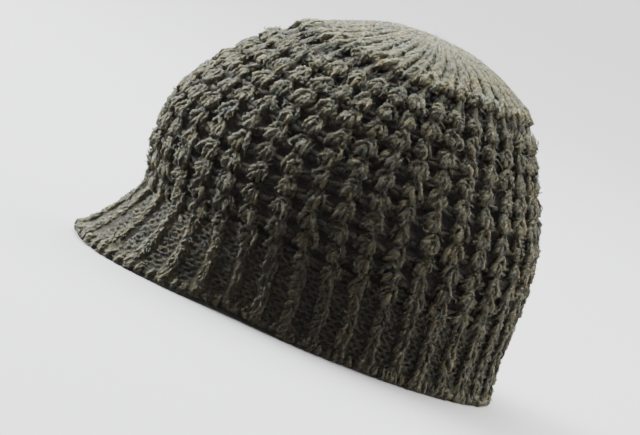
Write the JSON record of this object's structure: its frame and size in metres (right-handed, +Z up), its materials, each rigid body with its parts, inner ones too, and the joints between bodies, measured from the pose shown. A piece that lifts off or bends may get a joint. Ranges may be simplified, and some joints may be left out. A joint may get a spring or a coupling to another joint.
{
  "type": "visor beanie",
  "caption": "Chunky waffle-knit wool beanie with a plain-knit crown, a ribbed band and a short stiff ribbed visor at the front.",
  "frame": {"origin": "centre of the hat's outer size, visor included, on the ground it rests on", "axes": "+Z up, -Y towards the visor, +X the hat's left side"},
  "size_m": [0.1782, 0.2444, 0.1725],
  "materials": {
    "crown_knit": "marled wool, plain knit",
    "waffle_knit": "marled wool, waffle knit",
    "band_ribbing": "marled wool, ribbing",
    "visor_ribbing": "marled wool, ribbing"
  },
  "bodies": {
    "root": {"crown_top": "crown_knit", "crown_body": "waffle_knit", "rib_band": "band_ribbing", "visor": "visor_ribbing"}
  },
  "joints": []
}
